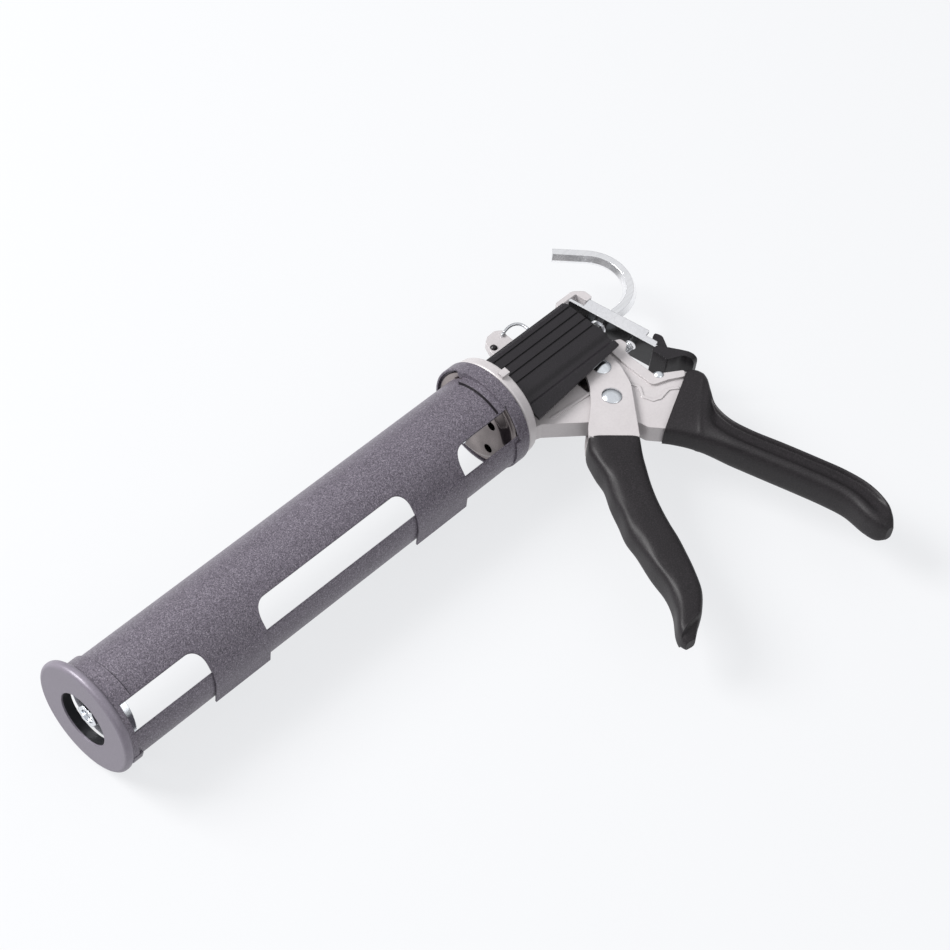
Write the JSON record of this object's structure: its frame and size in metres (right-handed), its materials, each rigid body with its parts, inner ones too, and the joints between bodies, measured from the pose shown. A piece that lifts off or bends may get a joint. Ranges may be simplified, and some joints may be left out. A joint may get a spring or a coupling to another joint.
{
  "type": "caulking gun",
  "caption": "Skeleton caulking gun with a turning open-sided barrel, hooked push rod, friction drive trigger, rubber grips, thumb release and folding piercing wire.",
  "frame": {"origin": "centre of the nozzle hole, on the front face of the cap", "axes": "+X the way the nozzle points, +Y towards the handles, +Z the gun's left side"},
  "size_m": [0.3964, 0.2443, 0.0613],
  "materials": {
    "barrel_paint": "fine textured grey powder coat",
    "cap_paint": "satin grey powder coat",
    "frame_paint": "satin warm grey paint",
    "zinc": "bright zinc plate",
    "rod_steel": "bright drawn steel",
    "plate_steel": "phosphated pressed steel",
    "cover_plastic": "satin black moulding",
    "grip_rubber": "fine grained black rubber",
    "spring_steel": "plated spring wire"
  },
  "bodies": {
    "frame_body": {"frame": "frame_paint", "handle_grip": "grip_rubber", "housing_cover": "cover_plastic", "retaining_plate": "plate_steel", "plate_screws": "zinc", "front_bush": "zinc", "rear_bush": "zinc", "trigger_pivot": "zinc", "stop_pin": "zinc", "wire_stop": "cover_plastic", "drive_spring": "spring_steel", "release_spring": "spring_steel"},
    "barrel": {"barrel_shell": "barrel_paint", "barrel_rail": "barrel_paint", "front_cap": "cap_paint", "rear_collar": "barrel_paint"},
    "rod": {"push_rod": "rod_steel", "plunger_disc": "zinc", "rod_washer": "zinc", "front_nut": "zinc", "rear_nut": "zinc"},
    "trigger": {"trigger_lever": "frame_paint", "trigger_grip": "grip_rubber", "drive_pin": "zinc"},
    "drive": {"drive_dog": "plate_steel", "grip_plates": "plate_steel"},
    "release": {"release_plate": "zinc", "thumb_tab": "cover_plastic"},
    "wire": {"pierce_wire": "spring_steel"}
  },
  "joints": [
    {"name": "barrel_turn", "type": "hinge", "parent": "frame_body", "child": "barrel", "pos_m": [-0.2657, 0, 0], "axis": [1, 0, 0], "continuous": true},
    {"name": "rod_slide", "type": "slide", "parent": "frame_body", "child": "rod", "axis": [-1, 0, 0], "range_m": [0, 0.235]},
    {"name": "trigger_squeeze", "type": "hinge", "parent": "frame_body", "child": "trigger", "pos_m": [-0.3184, 0.0399, 0], "axis": [0, 0, 1], "range_deg": [0, 20], "stiffness_Nm_per_rad": 0.9, "springref_deg": -34.38},
    {"name": "drive_stroke", "type": "slide", "parent": "frame_body", "child": "drive", "axis": [1, 0, 0], "range_m": [0, 0.0066], "deforming": ["drive_spring"]},
    {"name": "release_tilt", "type": "hinge", "parent": "frame_body", "child": "release", "pos_m": [-0.3515, -0.0175, 0], "axis": [0, 0, 1], "range_deg": [-4, 0], "stiffness_Nm_per_rad": 0.5, "springref_deg": 17.19, "deforming": ["release_spring"]},
    {"name": "wire_swing", "type": "hinge", "parent": "frame_body", "child": "wire", "pos_m": [-0.3106, -0.0288, 0], "axis": [0, 0, 1], "range_deg": [0, 150]}
  ],
  "couplings": [
    {"joint": "drive_stroke", "follows": "trigger_squeeze", "m_per_rad": 0.01813}
  ]
}
